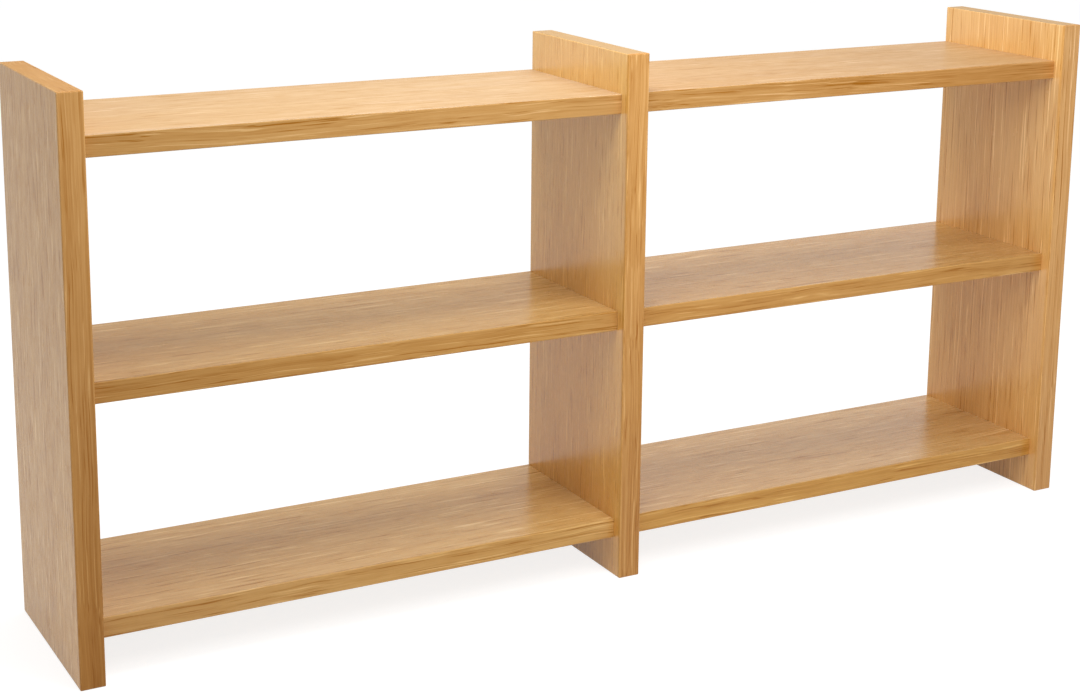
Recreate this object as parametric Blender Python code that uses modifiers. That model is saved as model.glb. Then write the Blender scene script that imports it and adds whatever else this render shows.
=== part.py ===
"""Two-bay wall shelf in oak: three uprights, six shelves, hidden cam fittings and keyhole hangers.

Metres. +X runs along the shelves to the right, +Y points to the wall and +Z up. The origin lies
on the wall plane, in the middle of the middle upright's rear edge.
"""

import math

import bmesh
import bpy
from mathutils import Matrix, Vector

# Boards
UPRIGHT_HEIGHT = 0.600
UPRIGHT_DEPTH = 0.220
UPRIGHT_THICKNESS = 0.026
BAY_WIDTH = 0.594           # clear width between two uprights
SHELF_THICKNESS = 0.022
SHELF_SETBACK = 0.014       # shelf front behind upright front
END_OVERHANG = 0.045        # upright past the top and the bottom shelf
LIPPING_THICKNESS = 0.004   # solid strip along each front edge
EDGE_RADIUS = 0.002
EDGE_SEGMENTS = 3
BLIND_SKIN = 0.013          # wood left behind a blind hole in an outer upright

# Fluted dowels
DOWEL_RADIUS = 0.004
DOWEL_IN_SHELF = 0.022
DOWEL_FROM_BACK = 0.060
DOWEL_CHAMFER = 0.001
FLUTE_DEPTH = 0.0004
FLUTES = 6

# Cam fittings: a turning cam in the shelf, a ball-headed bolt in the upright
CAM_RADIUS = 0.0075
CAM_FROM_END = 0.024        # cam axis to the upright's face
CAM_FROM_FRONT = 0.060
CAM_SINK = 0.0003           # cam face inside the shelf's underside
CAM_LID = 0.0010            # metal between the ball's chamber and the cam's inner end
CAM_DRAW = 0.0012           # how far half a turn pulls the ball in
DRIVE_LENGTH = 0.0080       # cross recess for a screwdriver
DRIVE_WIDTH = 0.0018
DRIVE_DEPTH = 0.0026
BALL_RADIUS = 0.0034
NECK_RADIUS = 0.0021
SHANK_RADIUS = 0.0035
THREAD_RADIUS = 0.0030
THREAD_TAPER = 0.0015

# Keyhole hangers in the uprights' rear edges
HANGER_WIDTH = 0.016
HANGER_HEIGHT = 0.050
HANGER_THICKNESS = 0.002
HANGER_CORNER = 0.003
HANGER_FROM_TOP = 0.070     # upright's top to the hanger's middle
HANGER_SINK = 0.0003        # hanger face inside the rear edge
KEYHOLE_RADIUS = 0.005
KEYHOLE_SLOT = 0.0025       # half the width of the narrow end
KEYHOLE_TRAVEL = 0.012      # from the wide end's centre up to the narrow end's
POCKET_DEPTH = 0.009        # room for the wall screw's head behind the hanger
POCKET_MARGIN = 0.001
SCREW_SPACING = 0.038
SCREW_RADIUS = 0.0017
SCREW_HEAD_RADIUS = 0.0034
SCREW_HEAD_DEPTH = 0.0016
SCREW_LENGTH = 0.018
SCREW_POINT = 0.004

# Clearances
GLUE_LINE = 0.0001          # between a board and its lipping
JOINT_GAP = 0.0003          # between a shelf's end and the upright
BORE_GAP = 0.0003           # round a pin, cam or screw in its hole
OVERCUT = 0.001             # a cutter's reach past the face it opens

# Facets round a turned piece or a hole
CAM_FACETS = 16
BORE_FACETS = 12
TURN_STEPS = 10

LEVELS = ("top", "middle", "bottom")
BAYS = {"left": -1, "right": 1}
UPRIGHTS = {"left": -1, "middle": 0, "right": 1}
ENDS = {"left": -1, "right": 1}

PITCH = BAY_WIDTH + UPRIGHT_THICKNESS
SHELF_DEPTH = UPRIGHT_DEPTH - SHELF_SETBACK
SHELF_LENGTH = BAY_WIDTH - 2 * JOINT_GAP
OUTER_LEVEL = UPRIGHT_HEIGHT / 2 - END_OVERHANG - SHELF_THICKNESS / 2
BLIND_DEPTH = UPRIGHT_THICKNESS - BLIND_SKIN
CAM_Y = CAM_FROM_FRONT - SHELF_DEPTH
DOWEL_Y = -DOWEL_FROM_BACK
CHAMBER_RADIUS = BALL_RADIUS + BORE_GAP
CAM_INNER_END = CHAMBER_RADIUS + CAM_LID
CAM_FACE = CAM_SINK - SHELF_THICKNESS / 2
SHANK_START = CAM_RADIUS + 2 * BORE_GAP
HANGER_Z = UPRIGHT_HEIGHT / 2 - HANGER_FROM_TOP
HANGER_SEAT = HANGER_SINK + HANGER_THICKNESS + GLUE_LINE


def new_collection(name):
    collection = bpy.data.collections.new(name)
    bpy.context.scene.collection.children.link(collection)
    return collection


def new_material(name, colour, roughness, metallic=0.0):
    material = bpy.data.materials.new(name)
    material.use_nodes = True
    shader = material.node_tree.nodes["Principled BSDF"]
    shader.inputs["Base Color"].default_value = (*colour, 1.0)
    shader.inputs["Roughness"].default_value = roughness
    shader.inputs["Metallic"].default_value = metallic
    return material


def to_mesh(bm, name):
    mesh = bpy.data.meshes.new(name)
    bm.to_mesh(mesh)
    bm.free()
    return mesh


def evaluated_mesh(obj):
    """The mesh that an object's modifiers, or a curve's extrusion, give."""
    bpy.context.view_layer.update()
    graph = bpy.context.evaluated_depsgraph_get()
    return bpy.data.meshes.new_from_object(obj.evaluated_get(graph))


def shade(mesh):
    mesh.shade_smooth()
    mesh.set_sharp_from_angle(angle=math.radians(35))
    return mesh


def rod(start, end, radius, segments, end_radius=None):
    """A capped cylinder, or a cone, from one point to another."""
    start = Vector(start)
    end = Vector(end)
    span = end - start
    place = Matrix.Translation((start + end) / 2) @ span.to_track_quat("Z", "Y").to_matrix().to_4x4()
    bm = bmesh.new()
    bmesh.ops.create_cone(bm, cap_ends=True, segments=segments, radius1=radius,
                          radius2=radius if end_radius is None else end_radius,
                          depth=span.length, matrix=place)
    return to_mesh(bm, "rod")


def block(low, high):
    """A box between two corners."""
    low = Vector(low)
    high = Vector(high)
    place = Matrix.Translation((low + high) / 2) @ Matrix.Diagonal((*(high - low), 1.0))
    bm = bmesh.new()
    bmesh.ops.create_cube(bm, size=1.0, matrix=place)
    return to_mesh(bm, "block")


def arc(centre, radius, start, end, steps):
    """Points along an arc, angles in degrees."""
    angles = [math.radians(start + (end - start) * i / steps) for i in range(steps + 1)]
    return [(centre[0] + radius * math.cos(a), centre[1] + radius * math.sin(a)) for a in angles]


def plate(outlines, thickness):
    """A flat plate in the XY plane: the first outline is its rim, the others are holes."""
    curve = bpy.data.curves.new("outline", "CURVE")
    curve.dimensions = "2D"
    curve.fill_mode = "BOTH"
    curve.extrude = thickness / 2
    for points in outlines:
        spline = curve.splines.new("POLY")
        spline.points.add(len(points) - 1)
        spline.use_cyclic_u = True
        for point, (x, y) in zip(spline.points, points):
            point.co = (x, y, 0.0, 1.0)
    obj = bpy.data.objects.new("outline", curve)
    cutters.objects.link(obj)
    mesh = evaluated_mesh(obj)
    bpy.data.objects.remove(obj)
    bm = bmesh.new()
    bm.from_mesh(mesh)
    bmesh.ops.remove_doubles(bm, verts=bm.verts, dist=1e-6)
    bmesh.ops.recalc_face_normals(bm, faces=bm.faces)
    return to_mesh(bm, "plate")


def turned(profile, steps):
    """A solid of revolution about Z from (radius, height) points that run from top to bottom."""
    mesh = bpy.data.meshes.new("profile")
    edges = [(i, i + 1) for i in range(len(profile) - 1)]
    mesh.from_pydata([(r, 0.0, z) for r, z in profile], edges, [])
    obj = bpy.data.objects.new("profile", mesh)
    cutters.objects.link(obj)
    screw = obj.modifiers.new("turn", "SCREW")
    screw.axis = "Z"
    screw.steps = steps
    screw.render_steps = steps
    screw.use_merge_vertices = True
    screw.merge_threshold = 0.00001
    solid = evaluated_mesh(obj)
    bpy.data.objects.remove(obj)
    return shade(solid)


def carve(mesh, tools):
    """Cut closed tool meshes out of a mesh."""
    target = bpy.data.objects.new("target", mesh)
    cutters.objects.link(target)
    made = [target]
    for tool in tools:
        cutter = bpy.data.objects.new("cutter", tool)
        cutter.hide_render = True
        cutter.display_type = "WIRE"
        cutters.objects.link(cutter)
        cut = target.modifiers.new("cut", "BOOLEAN")
        cut.operation = "DIFFERENCE"
        cut.solver = "EXACT"
        cut.object = cutter
        made.append(cutter)
    result = evaluated_mesh(target)
    for obj in made:
        bpy.data.objects.remove(obj)
    return shade(result)


def board(size, front_strip):
    """An eased board centred on the origin, or the lipping sawn from its front (-Y) edge."""
    bm = bmesh.new()
    bmesh.ops.create_cube(bm, size=1.0, matrix=Matrix.Diagonal((*size, 1.0)))
    bmesh.ops.bevel(bm, geom=bm.edges[:], offset=EDGE_RADIUS, offset_type="OFFSET",
                    segments=EDGE_SEGMENTS, profile=0.5, affect="EDGES", material=-1)
    seam = LIPPING_THICKNESS - size[1] / 2
    side = -1 if front_strip else 1
    seam += side * GLUE_LINE / 2
    bmesh.ops.bisect_plane(bm, geom=bm.verts[:] + bm.edges[:] + bm.faces[:], dist=1e-7,
                           plane_co=(0.0, seam, 0.0), plane_no=(0.0, -side, 0.0), clear_outer=True)
    bmesh.ops.holes_fill(bm, edges=[e for e in bm.edges if e.is_boundary], sides=0)
    bmesh.ops.recalc_face_normals(bm, faces=bm.faces)
    return shade(to_mesh(bm, "board"))


def level_height(index):
    return OUTER_LEVEL - index * 2 * OUTER_LEVEL / (len(LEVELS) - 1)


def shelf_mesh():
    """A shelf drilled at both ends: cam bore from below, bolt and dowel bores from the end."""
    cam_y = CAM_Y + SHELF_DEPTH / 2
    dowel_y = DOWEL_Y + SHELF_DEPTH / 2
    tools = []
    for side in ENDS.values():
        end = side * (SHELF_LENGTH / 2 + OVERCUT)
        cam_x = side * (BAY_WIDTH / 2 - CAM_FROM_END)
        dowel_x = side * (BAY_WIDTH / 2 - DOWEL_IN_SHELF - BORE_GAP)
        tools.append(rod((cam_x, cam_y, -SHELF_THICKNESS / 2 - OVERCUT),
                         (cam_x, cam_y, CAM_INNER_END + BORE_GAP), CAM_RADIUS + BORE_GAP, CAM_FACETS))
        tools.append(rod((end, cam_y, 0.0), (cam_x, cam_y, 0.0), SHANK_RADIUS + BORE_GAP, BORE_FACETS))
        tools.append(rod((end, dowel_y, 0.0), (dowel_x, dowel_y, 0.0), DOWEL_RADIUS + BORE_GAP, BORE_FACETS))
    return carve(board((SHELF_LENGTH, SHELF_DEPTH, SHELF_THICKNESS), False), tools)


def upright_mesh(faces):
    """An upright drilled on its inner faces (-1 left, 1 right), with the hanger's pocket behind."""
    tools = []
    through = len(faces) == 2
    for index in range(len(LEVELS)):
        z = level_height(index)
        for y, radius in ((CAM_Y, SHANK_RADIUS if through else THREAD_RADIUS), (DOWEL_Y, DOWEL_RADIUS)):
            y += UPRIGHT_DEPTH / 2
            mouth = faces[0] * (UPRIGHT_THICKNESS / 2 + OVERCUT)
            bottom = -mouth
            if not through:
                bottom = faces[0] * (UPRIGHT_THICKNESS / 2 - BLIND_DEPTH - BORE_GAP)
            tools.append(rod((mouth, y, z), (bottom, y, z), radius + BORE_GAP, BORE_FACETS))
    rear = UPRIGHT_DEPTH / 2
    half_width = HANGER_WIDTH / 2 + BORE_GAP
    half_height = HANGER_HEIGHT / 2 + BORE_GAP
    tools.append(block((-half_width, rear - HANGER_SEAT, HANGER_Z - half_height),
                       (half_width, rear + OVERCUT, HANGER_Z + half_height)))
    half_width = KEYHOLE_RADIUS + POCKET_MARGIN
    half_height = half_width + KEYHOLE_TRAVEL / 2
    tools.append(block((-half_width, rear - HANGER_SEAT - POCKET_DEPTH, HANGER_Z - half_height),
                       (half_width, rear + OVERCUT, HANGER_Z + half_height)))
    for side in (-1, 1):
        z = HANGER_Z + side * SCREW_SPACING / 2
        tools.append(rod((0.0, rear + OVERCUT, z), (0.0, rear - HANGER_SINK - SCREW_LENGTH - BORE_GAP, z),
                         SCREW_RADIUS + BORE_GAP, BORE_FACETS))
    return carve(board((UPRIGHT_THICKNESS, UPRIGHT_DEPTH, UPRIGHT_HEIGHT), False), tools)


def cam_mesh():
    """The cam about Z, locked on a bolt that comes in along +X. Its face looks down.

    The chamber is eccentric: its wall closes on the ball as the cam turns. The neck runs in the
    slot on the +Y side, and the ball leaves through the mouth at -X.
    """
    body = rod((0.0, 0.0, CAM_FACE), (0.0, 0.0, CAM_INNER_END), CAM_RADIUS, CAM_FACETS)
    turns = [2 * math.pi * i / CAM_FACETS for i in range(CAM_FACETS)]
    radii = [CHAMBER_RADIUS + CAM_DRAW * (1 - math.cos(a)) / 2 for a in turns]
    chamber = plate([[(r * math.cos(a), r * math.sin(a)) for r, a in zip(radii, turns)]], 2 * CHAMBER_RADIUS)
    neck = NECK_RADIUS + BORE_GAP
    slot = block((-CAM_RADIUS - OVERCUT, -neck, -neck), (CAM_RADIUS + OVERCUT, CAM_RADIUS + OVERCUT, neck))
    mouth = rod((0.0, 0.0, 0.0), (-CAM_RADIUS - OVERCUT, 0.0, 0.0), CHAMBER_RADIUS, BORE_FACETS)
    tools = [chamber, slot, mouth]
    for x, y in ((DRIVE_LENGTH, DRIVE_WIDTH), (DRIVE_WIDTH, DRIVE_LENGTH)):
        tools.append(block((-x / 2, -y / 2, CAM_FACE - OVERCUT), (x / 2, y / 2, CAM_FACE + DRIVE_DEPTH)))
    return carve(body, tools)


def ball_end():
    """Profile of a bolt's ball, neck and shoulder, from the ball's tip at the top down to the shank."""
    neck_angle = math.degrees(math.asin(NECK_RADIUS / BALL_RADIUS))
    ball = [(x, y) for y, x in arc((0.0, 0.0), BALL_RADIUS, 0.0, 180.0 - neck_angle, 4)]
    ball[0] = (0.0, BALL_RADIUS)
    return ball + [(NECK_RADIUS, -SHANK_START), (SHANK_RADIUS, -SHANK_START)]


def outer_bolt_mesh():
    """Bolt into an outer upright: its ball is at the origin and its thread points down."""
    face = -CAM_FROM_END
    tip = face - BLIND_DEPTH
    thread = [(SHANK_RADIUS, face), (THREAD_RADIUS, face), (THREAD_RADIUS, tip + THREAD_TAPER),
              (THREAD_RADIUS - THREAD_TAPER, tip), (0.0, tip)]
    return turned(ball_end() + thread, TURN_STEPS)


def through_bolt_mesh():
    """Bolt through the middle upright, with a ball at each end, about the origin."""
    reach = CAM_FROM_END + UPRIGHT_THICKNESS / 2
    upper = [(r, z + reach) for r, z in ball_end()]
    return turned(upper + [(r, -z) for r, z in reversed(upper)], TURN_STEPS)


def dowel_mesh(length):
    """A fluted dowel along Z."""
    count = 2 * FLUTES
    bm = bmesh.new()
    bmesh.ops.create_cone(bm, cap_ends=True, segments=count, radius1=DOWEL_RADIUS,
                          radius2=DOWEL_RADIUS, depth=length)
    rims = [e for e in bm.edges if abs(e.verts[0].co.z - e.verts[1].co.z) < length / 2]
    bmesh.ops.bevel(bm, geom=rims, offset=DOWEL_CHAMFER, offset_type="OFFSET", segments=1,
                    profile=0.5, affect="EDGES", material=-1)
    for vert in bm.verts:
        step = round(math.atan2(vert.co.y, vert.co.x) * count / (2 * math.pi))
        if step % 2:
            flat = Vector((vert.co.x, vert.co.y, 0.0))
            vert.co -= flat.normalized() * FLUTE_DEPTH
    return to_mesh(bm, "dowel")


def hanger_mesh():
    """Keyhole hanger in the XY plane, its slot upwards along +Y and its outer face at +Z."""
    corner_x = HANGER_WIDTH / 2 - HANGER_CORNER
    corner_y = HANGER_HEIGHT / 2 - HANGER_CORNER
    corners = ((corner_x, corner_y), (-corner_x, corner_y), (-corner_x, -corner_y), (corner_x, -corner_y))
    rim = []
    for i, centre in enumerate(corners):
        rim += arc(centre, HANGER_CORNER, 90 * i, 90 * i + 90, 4)
    low = (0.0, -KEYHOLE_TRAVEL / 2)
    high = (0.0, KEYHOLE_TRAVEL / 2)
    shoulder = math.degrees(math.acos(KEYHOLE_SLOT / KEYHOLE_RADIUS))
    keyhole = arc(low, KEYHOLE_RADIUS, 180 - shoulder, 360 + shoulder, 14)
    keyhole += arc(high, KEYHOLE_SLOT, 0, 180, 6)
    flat = plate([rim, keyhole], HANGER_THICKNESS)
    tools = []
    reach = HANGER_THICKNESS / 2 + OVERCUT
    slope = (SCREW_HEAD_RADIUS - SCREW_RADIUS) / SCREW_HEAD_DEPTH
    for side in (-1, 1):
        y = side * SCREW_SPACING / 2
        sink = SCREW_HEAD_DEPTH + BORE_GAP
        tools.append(rod((0.0, y, -reach), (0.0, y, reach), SCREW_RADIUS + BORE_GAP, BORE_FACETS))
        tools.append(rod((0.0, y, HANGER_THICKNESS / 2 - sink), (0.0, y, reach),
                         SCREW_RADIUS + BORE_GAP, BORE_FACETS,
                         end_radius=SCREW_RADIUS + BORE_GAP + slope * (sink + OVERCUT)))
    return carve(flat, tools)


def screw_mesh():
    """Countersunk wood screw along Z, its head's face at the origin and its point down."""
    return turned([(0.0, 0.0), (SCREW_HEAD_RADIUS, 0.0), (SCREW_RADIUS, -SCREW_HEAD_DEPTH),
                   (SCREW_RADIUS, SCREW_POINT - SCREW_LENGTH), (0.0, -SCREW_LENGTH)], TURN_STEPS)


def add(name, mesh, material, location, rotation=(0.0, 0.0, 0.0)):
    obj = bpy.data.objects.new(name, mesh)
    obj.location = location
    obj.rotation_euler = rotation
    if not mesh.materials:
        mesh.materials.append(material)
    parts.objects.link(obj)
    obj.parent = carcase
    return obj


def build_boards():
    size = (UPRIGHT_THICKNESS, UPRIGHT_DEPTH, UPRIGHT_HEIGHT)
    inner_faces = {"left": (1,), "middle": (-1, 1), "right": (-1,)}
    lipping = board(size, True)
    for name, column in UPRIGHTS.items():
        place = (column * PITCH, -UPRIGHT_DEPTH / 2, 0.0)
        add(f"{name}_upright", upright_mesh(inner_faces[name]), oak_veneer, place)
        add(f"{name}_upright_lipping", lipping, oak_solid, place)
    shelf = shelf_mesh()
    lipping = board((SHELF_LENGTH, SHELF_DEPTH, SHELF_THICKNESS), True)
    for bay, side in BAYS.items():
        for index, level in enumerate(LEVELS):
            place = (side * PITCH / 2, -SHELF_DEPTH / 2, level_height(index))
            add(f"{bay}_{level}_shelf", shelf, oak_veneer, place)
            add(f"{bay}_{level}_shelf_lipping", lipping, oak_solid, place)


def build_fittings():
    cam = cam_mesh()
    outer_bolt = outer_bolt_mesh()
    through_bolt = through_bolt_mesh()
    outer_dowel = dowel_mesh(DOWEL_IN_SHELF + BLIND_DEPTH)
    through_dowel = dowel_mesh(2 * DOWEL_IN_SHELF + UPRIGHT_THICKNESS)
    quarter = math.pi / 2
    for index, level in enumerate(LEVELS):
        z = level_height(index)
        for bay, bay_side in BAYS.items():
            for end, side in ENDS.items():
                x = bay_side * PITCH / 2 + side * (BAY_WIDTH / 2 - CAM_FROM_END)
                turn = 0.0 if side > 0 else math.pi
                add(f"{bay}_{level}_cam_{end}", cam, zinc, (x, CAM_Y, z), (0.0, 0.0, turn))
            face = bay_side * (PITCH - UPRIGHT_THICKNESS / 2)
            add(f"{bay}_{level}_bolt", outer_bolt, steel, (face - bay_side * CAM_FROM_END, CAM_Y, z),
                (0.0, -bay_side * quarter, 0.0))
            add(f"{bay}_{level}_dowel", outer_dowel, beech,
                (face + bay_side * (BLIND_DEPTH - DOWEL_IN_SHELF) / 2, DOWEL_Y, z), (0.0, quarter, 0.0))
        add(f"middle_{level}_bolt", through_bolt, steel, (0.0, CAM_Y, z), (0.0, quarter, 0.0))
        add(f"middle_{level}_dowel", through_dowel, beech, (0.0, DOWEL_Y, z), (0.0, quarter, 0.0))


def build_hangers():
    hanger = hanger_mesh()
    screw = screw_mesh()
    into_wood = (-math.pi / 2, 0.0, 0.0)
    upright = (math.pi / 2, 0.0, math.pi)
    for name, column in UPRIGHTS.items():
        x = column * PITCH
        add(f"{name}_hanger", hanger, zinc_plate, (x, -HANGER_SINK - HANGER_THICKNESS / 2, HANGER_Z), upright)
        for row, side in (("upper", 1), ("lower", -1)):
            add(f"{name}_hanger_screw_{row}", screw, steel,
                (x, -HANGER_SINK, HANGER_Z + side * SCREW_SPACING / 2), into_wood)


for old in list(bpy.data.objects):
    bpy.data.objects.remove(old)

parts = new_collection("wall_shelf")
cutters = new_collection("cutters")
carcase = bpy.data.objects.new("carcase", None)
parts.objects.link(carcase)

oak_veneer = new_material("oak_veneer", (0.56, 0.33, 0.15), 0.45)
oak_solid = new_material("oak_solid", (0.50, 0.27, 0.10), 0.42)
beech = new_material("beech", (0.62, 0.43, 0.24), 0.65)
zinc = new_material("zinc", (0.62, 0.62, 0.60), 0.38, 0.9)
zinc_plate = new_material("zinc_plate", (0.66, 0.67, 0.68), 0.32, 1.0)
steel = new_material("steel", (0.60, 0.58, 0.52), 0.30, 1.0)

build_boards()
build_fittings()
build_hangers()
bpy.context.view_layer.update()
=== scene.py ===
import math
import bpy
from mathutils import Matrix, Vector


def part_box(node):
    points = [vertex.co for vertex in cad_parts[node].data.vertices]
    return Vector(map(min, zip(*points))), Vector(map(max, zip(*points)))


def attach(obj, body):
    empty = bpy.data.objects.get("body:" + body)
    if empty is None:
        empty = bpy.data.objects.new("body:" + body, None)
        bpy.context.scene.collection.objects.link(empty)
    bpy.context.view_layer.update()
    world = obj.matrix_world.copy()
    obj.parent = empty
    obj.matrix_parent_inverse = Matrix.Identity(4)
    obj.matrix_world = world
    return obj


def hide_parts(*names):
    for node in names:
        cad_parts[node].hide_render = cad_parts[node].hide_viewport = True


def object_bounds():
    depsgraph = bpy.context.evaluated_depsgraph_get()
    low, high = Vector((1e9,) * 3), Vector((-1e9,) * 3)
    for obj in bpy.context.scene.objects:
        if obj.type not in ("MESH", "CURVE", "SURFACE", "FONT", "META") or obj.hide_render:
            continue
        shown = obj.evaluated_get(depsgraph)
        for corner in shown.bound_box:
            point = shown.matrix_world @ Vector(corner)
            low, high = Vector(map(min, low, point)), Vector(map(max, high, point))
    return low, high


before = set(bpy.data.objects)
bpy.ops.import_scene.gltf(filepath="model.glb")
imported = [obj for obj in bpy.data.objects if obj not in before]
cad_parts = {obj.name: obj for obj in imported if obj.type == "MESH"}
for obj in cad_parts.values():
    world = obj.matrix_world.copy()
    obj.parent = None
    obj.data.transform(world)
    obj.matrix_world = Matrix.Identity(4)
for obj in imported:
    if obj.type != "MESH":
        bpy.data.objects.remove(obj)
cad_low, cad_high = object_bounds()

from types import SimpleNamespace

import bmesh
import bpy
from mathutils import Matrix, Vector

UPRIGHTS = ("left", "middle", "right")
BAYS = ("left", "right")
LEVELS = ("top", "middle", "bottom")
ENDS = {"left": -1, "right": 1}     # a shelf's ends, and the way along X from each one's cam to its bolt

# Sizes of the bores and fittings, in metres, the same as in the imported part.
BORE_GAP = 0.0003       # room round a pin, cam or screw, and at a shelf's end
OVERCUT = 0.001         # a cutter's reach past the face it opens
CAM_RADIUS = 0.0075
CAM_Y = -0.146
CAM_FROM_END = 0.024    # cam axis to the upright's face
CAM_FACE = -0.0107      # cam face below the middle of the shelf
CAM_LID = 0.0010        # metal between the chamber and the cam's inner end
CAM_DRAW = 0.0012       # how far half a turn pulls the ball in
CAM_DRIVE = (0.0080, 0.0018, 0.0026)    # length, width and depth of its cross recess
BALL_ROOM = 0.0037      # chamber round the bolt's ball
NECK_ROOM = 0.0024      # slot round the bolt's neck
SHANK_RADIUS = 0.0035
THREAD_RADIUS = 0.0030
DOWEL_RADIUS = 0.004
DOWEL_Y = -0.060
DOWEL_REACH = 0.022     # dowel's length inside a shelf
BLIND_DEPTH = 0.013
HANGER_Z = 0.230
HANGER_WIDTH = 0.016
HANGER_HEIGHT = 0.050
HANGER_CORNER = 0.003
HANGER_SEAT = 0.0024    # depth of the hanger's recess
KEYHOLE_RADIUS = 0.005
KEYHOLE_SLOT = 0.0025   # half the width of the narrow end
KEYHOLE_TRAVEL = 0.012  # from the wide end's centre up to the narrow end's
POCKET_DEPTH = 0.009    # room for the wall screw's head behind the hanger
POCKET_MARGIN = 0.001
SCREW_SPACING = 0.038
SCREW_RADIUS = 0.0017
SCREW_HEAD_RADIUS = 0.0034
SCREW_HEAD_DEPTH = 0.0016
SCREW_LENGTH = 0.018
SCREW_POINT = 0.004

# Sizes that only the look has, in metres unless a line says otherwise.
EASE = 0.0012           # radius on the boards' edges
ARRIS = 0.0004          # sharp edges broken where a shelf meets an upright
END_FILL = 0.9          # share of the gap at a shelf's end that the board closes up
CAM_RIM = 0.0006
ARROW_FROM_AXIS = 0.0053
ARROW_RADIUS = 0.0013
ARROW_DEPTH = 0.0004
HANGER_RIM = 0.00025
SLOT_FIT = 0.97         # keyhole's straight part, a little narrower than its round end
SCREW_RIM = 0.0002
SCREW_DRIVE = (0.0042, 0.0008, 0.0011)
DRIVE_TAPER = 0.55      # floor of a cross recess as a share of its mouth
TOUCH = 0.000001        # points this close lie in one plane
MERGE = 0.000002        # points closer than this are one
SHARP = 38.0            # degrees between faces that meet in a sharp edge

# Floor, light and camera
FLOOR_REACH = 40.0      # metres from its middle to its sides
FLOOR_GAP = 0.0002
FLOOR_MATT = 0.80       # what the floor throws back on the boards
FLOOR_PALE = 0.36       # the part of the seen floor that takes a shadow
FLOOR_GLOW = 0.81
ROOM_LIGHT = 0.54
LAMP_TARGET = (0.0, -0.1, 0.0)
LAMPS = {               # place, width and height, watts
    "overhead": ((-0.35, -0.5, 1.0), (0.6, 0.5), 5.75),
    "front": ((0.1, -1.1, 0.9), (0.5, 0.5), 5.2),
    "behind_overhead": ((0.0, 0.25, 1.2), (1.8, 0.35), 7.5),
}
SENSOR = 36.0           # millimetres, as is the lens
LENS = 65.85
SHIFT = -0.13704
CAMERA_PLACE = (-1.10549, -2.0243, 0.58962)
CAMERA_TURN = (77.9205, -0.5755, -28.5075)

# Oak: a board's own settings change some of these.
PLAIN = (1.0, 1.0, 1.0)         # no tint
OAK = dict(
    fade=(PLAIN, PLAIN),        # painted light and shade: tint at a board's lower or left end, and at the other end
    cover=PLAIN,                # tint of the broad faces, to match a strip with its board
    end=(0.79, 0.72, 0.62),     # tint of the end grain
    ring=0.005,                 # metres from one growth ring to the next
    rings=0.05,                 # how much early wood darkens
    pith=(0.6, 0.1),            # the log's heart, across the board and into it
    bend=0.005,                 # metres that the grain wanders
    patch=0.14,                 # this and the next seven are the strengths of the figure's layers
    flame=0.05,
    flecks=0.08,
    stripes=0.06,
    fibre=0.14,
    light_lines=0.45,
    dark_lines=0.40,
    pores=0.35,
    length=1.0,                 # stretch of lines, fibres and pores
    fine=1.0,                   # narrowness of the lines
    warmth=0.5,
    gloss=0.25,                 # roughness of the lacquer
    lacquer=0.15,               # strength of its reflection
)
FIGURE = {              # spots per metre along and across the grain, and detail
    "drift": (5.0, 14.0, 2.0),
    "patches": (1.6, 18.0, 2.0),
    "flames": (2.6, 95.0, 2.5),
    "pale lines": (9.0, 380.0, 2.0),
    "dark lines": (11.0, 430.0, 2.0),
    "fibres": (22.0, 1200.0, 2.5),
    "pores": (40.0, 1000.0, 1.5),
    "flecks": (30.0, 170.0, 1.5),
    "stripes": (1.5, 620.0, 2.0),
    "warmth": (2.2, 30.0, 2.0),
}
PALE_LINE = (0.59, 0.69)    # from where to where in the noise a line or pore comes up
DARK_LINE = (0.59, 0.70)
PORE_DASH = (0.54, 0.68)
WARM_PATCH = (0.35, 0.65)
EARLY_WOOD = 0.60           # share of a growth ring over which its open wood runs out
LATE_WOOD = 0.78            # share of a ring after which the next one's starts to show
RING_DRIFT = 0.31           # how fast the rings' widths change
RING_SHIFT = 3.0            # and by how many rings
EVEN_SHADE = 0.48           # where plain wood lies on the ramp of tones
END_FACE = (0.70, 0.72)     # how squarely a face looks up or down where it turns to end grain
BROAD_FACE = (0.4, 0.9)
END_CALM = 0.6              # share of the figure that the end grain lacks
DARK_GRAIN = (0.64, 0.46, 0.14)     # these five are multiples of the board's tone
PALE_GRAIN = (1.17, 1.28, 1.50)
BRIGHT_GRAIN = (1.30, 1.48, 1.95)
OPEN_PORE = (0.64, 0.46, 0.16)
# lighter edge tone: partly worn lacquer, partly a painted highlight
WORN_AND_HIGHLIT_EDGE = (1.2, 1.28, 1.4)
WARM_TINT = (1.0, 0.97, 0.86)
WEAR_AND_HIGHLIGHT = 0.22
WEAR_AND_HIGHLIGHT_REACH = 0.003
WEAR_AND_HIGHLIGHT_SPOTS = 160.0
WEAR_AND_HIGHLIGHT_SPOT = (0.35, 0.7)
GLOSS_SPOTS = 45.0
GLOSS_MOTTLE = 0.12
PORE_DULLNESS = 0.14
END_DULLNESS = 0.35
WORN_POLISH = 0.04
GRAIN_RELIEF = dict(Strength=0.08, Distance=0.0003)
SEED_STEPS = (13.7, 29.3, 41.9)     # these place each board elsewhere in the noise
SEED_SPAN = 97.0

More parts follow.
